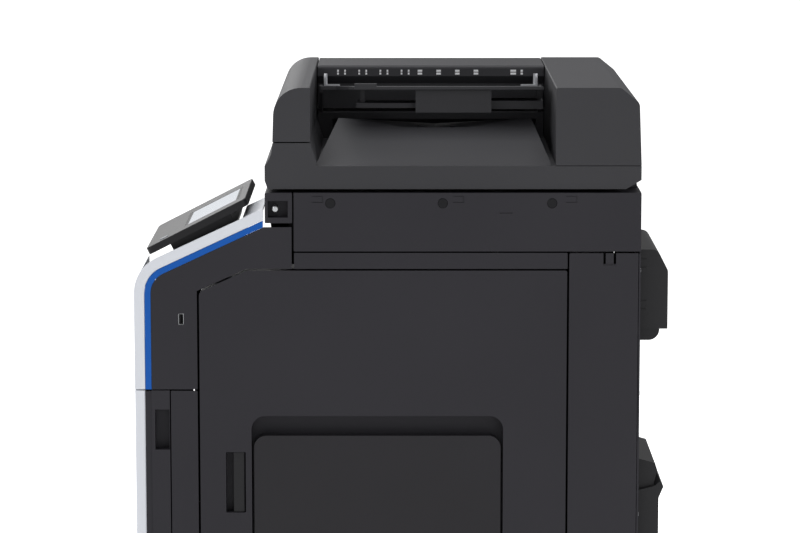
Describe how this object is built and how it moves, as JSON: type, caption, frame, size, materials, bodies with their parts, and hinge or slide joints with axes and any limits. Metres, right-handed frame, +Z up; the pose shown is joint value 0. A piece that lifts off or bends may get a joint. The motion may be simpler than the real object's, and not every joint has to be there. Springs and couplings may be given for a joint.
{
  "type": "photocopier",
  "caption": "Floor-standing A3 digital photocopier with document feeder, tilting control panel, output bay, side doors, bypass tray and paper drawers.",
  "frame": {"origin": "on the floor under the middle of the machine's bounding box", "axes": "+X to the operator's right, -Y the front, +Z up"},
  "size_m": [0.617, 0.884, 1.223],
  "materials": {
    "steel": "zinc plated sheet",
    "dark_abs": "fine spark texture",
    "lid_abs": "fine spark texture",
    "white_abs": "satin moulded",
    "blue_abs": "satin moulded",
    "black_abs": "matt moulded",
    "panel_abs": "satin moulded",
    "screen_glass": "polished",
    "clear_glass": "polished",
    "grey_abs": "moulded",
    "pad_foam": "white sheet",
    "rubber": "matt",
    "tyre": "matt",
    "drawer_abs": "satin moulded",
    "toner_abs": "moulded",
    "drum_coat": "coated drum"
  },
  "bodies": {
    "chassis": {"base_frame": "steel", "front_plate": "steel", "rear_plate": "steel", "laser_unit": "black_abs", "drum_units": "drum_coat", "transfer_unit": "black_abs", "toner_bottles": "toner_abs", "fuser_unit": "steel", "electrical_box": "steel", "left_cover": "dark_abs", "rear_cover": "dark_abs", "rear_column_cover": "dark_abs", "column_cover": "dark_abs", "lower_column_cover": "dark_abs", "upper_side_strip": "dark_abs", "tower_front_cover": "white_abs", "accent_band": "blue_abs", "front_upper_cover": "white_abs", "output_tray": "lid_abs", "bay_wall": "dark_abs", "panel_bracket": "steel", "scanner_case": "dark_abs", "scanner_side_cover": "dark_abs", "scanner_front_cover": "dark_abs", "platen_glass": "clear_glass", "exhaust_box": "lid_abs", "rear_lower_duct": "black_abs", "power_inlet": "black_abs"},
    "panel": {"panel_housing": "panel_abs", "panel_screen": "screen_glass"},
    "power_key": {"panel_key": "grey_abs"},
    "feeder": {"feeder_base": "lid_abs", "feeder_front_arch": "lid_abs", "feeder_rear_block": "lid_abs", "platen_pad": "pad_foam"},
    "feeder_cover": {"feeder_cover": "lid_abs"},
    "feeder_roller": {"feeder_roller": "rubber"},
    "input_tray": {"input_tray": "lid_abs"},
    "guide_front": {"guide_front": "grey_abs"},
    "guide_rear": {"guide_rear": "grey_abs"},
    "exit_stopper": {"exit_stopper": "black_abs"},
    "lamp_carriage": {"lamp_carriage": "steel"},
    "mirror_carriage": {"mirror_carriage": "steel"},
    "side_door": {"side_door": "dark_abs"},
    "side_door_handle": {"side_door_handle": "lid_abs"},
    "bypass_tray": {"bypass_tray": "dark_abs"},
    "lower_side_door": {"lower_side_door": "dark_abs"},
    "front_door": {"front_door": "white_abs", "front_door_frame": "dark_abs"},
    "drawer_1": {"drawer_1": "drawer_abs"},
    "drawer_2": {"drawer_2": "drawer_abs"},
    "drawer_3": {"drawer_3": "drawer_abs"},
    "exit_roller": {"exit_roller": "rubber"},
    "power_switch": {"power_switch": "black_abs"},
    "caster_fork_left": {"caster_fork_left": "steel"},
    "caster_wheel_front_left": {"caster_wheel_front_left": "tyre"},
    "caster_wheel_rear_left": {"caster_wheel_rear_left": "tyre"},
    "caster_fork_right": {"caster_fork_right": "steel"},
    "caster_wheel_front_right": {"caster_wheel_front_right": "tyre"},
    "caster_wheel_rear_right": {"caster_wheel_rear_right": "tyre"}
  },
  "joints": [
    {"name": "panel_tilt", "type": "hinge", "parent": "chassis", "child": "panel", "pos_m": [0.16, -0.393, 0.905], "axis": [1, 0, 0], "range_deg": [0, 63]},
    {"name": "power_key_press", "type": "slide", "parent": "panel", "child": "power_key", "axis": [0, 0.454, -0.891], "range_m": [0, 0.0012], "stiffness_N_per_m": 200, "springref_m": -0.002},
    {"name": "feeder_lift", "type": "hinge", "parent": "chassis", "child": "feeder", "pos_m": [0, 0.384, 1.056], "axis": [-1, 0, 0], "range_deg": [0, 60]},
    {"name": "feeder_cover_open", "type": "hinge", "parent": "feeder", "child": "feeder_cover", "pos_m": [-0.294, 0.052, 1.158], "axis": [0, -1, 0], "range_deg": [0, 70]},
    {"name": "feeder_roller_spin", "type": "hinge", "parent": "feeder", "child": "feeder_roller", "pos_m": [-0.165, 0.052, 1.172], "axis": [0, 1, 0], "continuous": true},
    {"name": "input_tray_lift", "type": "hinge", "parent": "feeder", "child": "input_tray", "pos_m": [-0.112, 0.052, 1.184], "axis": [0, -1, 0], "range_deg": [0, 25]},
    {"name": "guide_front_slide", "type": "slide", "parent": "input_tray", "child": "guide_front", "axis": [0, 1, 0], "range_m": [0, 0.1]},
    {"name": "guide_rear_slide", "type": "slide", "parent": "input_tray", "child": "guide_rear", "axis": [0, 1, 0], "range_m": [-0.1, 0]},
    {"name": "exit_stopper_flip", "type": "hinge", "parent": "feeder", "child": "exit_stopper", "pos_m": [0.106, 0.057, 1.132], "axis": [0, -1, 0], "range_deg": [0, 70]},
    {"name": "lamp_travel", "type": "slide", "parent": "chassis", "child": "lamp_carriage", "axis": [1, 0, 0], "range_m": [0, 0.42]},
    {"name": "mirror_travel", "type": "slide", "parent": "chassis", "child": "mirror_carriage", "axis": [1, 0, 0], "range_m": [0, 0.21]},
    {"name": "side_door_swing", "type": "hinge", "parent": "chassis", "child": "side_door", "pos_m": [0.3065, 0.269, 0.626], "axis": [0, 0, 1], "range_deg": [0, 90]},
    {"name": "side_door_latch", "type": "hinge", "parent": "side_door", "child": "side_door_handle", "pos_m": [0.302, -0.2635, 0.564], "axis": [0, 0, 1], "range_deg": [0, 20], "stiffness_Nm_per_rad": 0.5, "springref_deg": -11.46},
    {"name": "bypass_tray_fold", "type": "hinge", "parent": "side_door", "child": "bypass_tray", "pos_m": [0.299, -0.04, 0.35], "axis": [0, 1, 0], "range_deg": [0, 80]},
    {"name": "lower_door_swing", "type": "hinge", "parent": "chassis", "child": "lower_side_door", "pos_m": [0.3065, 0.269, 0.197], "axis": [0, 0, 1], "range_deg": [0, 90]},
    {"name": "front_door_swing", "type": "hinge", "parent": "chassis", "child": "front_door", "pos_m": [-0.3005, -0.434, 0.572], "axis": [0, 0, -1], "range_deg": [0, 110]},
    {"name": "drawer_1_slide", "type": "slide", "parent": "chassis", "child": "drawer_1", "axis": [0, -1, 0], "range_m": [0, 0.42]},
    {"name": "drawer_2_slide", "type": "slide", "parent": "chassis", "child": "drawer_2", "axis": [0, -1, 0], "range_m": [0, 0.42]},
    {"name": "drawer_3_slide", "type": "slide", "parent": "chassis", "child": "drawer_3", "axis": [0, -1, 0], "range_m": [0, 0.42]},
    {"name": "exit_roller_spin", "type": "hinge", "parent": "chassis", "child": "exit_roller", "pos_m": [0.16, -0.078, 0.893], "axis": [0, 1, 0], "continuous": true},
    {"name": "power_switch_rock", "type": "hinge", "parent": "chassis", "child": "power_switch", "pos_m": [-0.304, 0.27, 0.138], "axis": [0, 1, 0], "range_deg": [0, 8]},
    {"name": "caster_swivel_left", "type": "hinge", "parent": "chassis", "child": "caster_fork_left", "pos_m": [-0.25, -0.332, 0.04], "axis": [0, 0, 1], "continuous": true},
    {"name": "wheel_spin_front_left", "type": "hinge", "parent": "caster_fork_left", "child": "caster_wheel_front_left", "pos_m": [-0.25, -0.312, 0.025], "axis": [1, 0, 0], "continuous": true},
    {"name": "wheel_spin_rear_left", "type": "hinge", "parent": "chassis", "child": "caster_wheel_rear_left", "pos_m": [-0.25, 0.338, 0.025], "axis": [1, 0, 0], "continuous": true},
    {"name": "caster_swivel_right", "type": "hinge", "parent": "chassis", "child": "caster_fork_right", "pos_m": [0.25, -0.332, 0.04], "axis": [0, 0, 1], "continuous": true},
    {"name": "wheel_spin_front_right", "type": "hinge", "parent": "caster_fork_right", "child": "caster_wheel_front_right", "pos_m": [0.25, -0.312, 0.025], "axis": [1, 0, 0], "continuous": true},
    {"name": "wheel_spin_rear_right", "type": "hinge", "parent": "chassis", "child": "caster_wheel_rear_right", "pos_m": [0.25, 0.338, 0.025], "axis": [1, 0, 0], "continuous": true}
  ],
  "couplings": [
    {"joint": "mirror_travel", "follows": "lamp_travel", "ratio": 0.5},
    {"joint": "guide_rear_slide", "follows": "guide_front_slide", "ratio": -1}
  ]
}
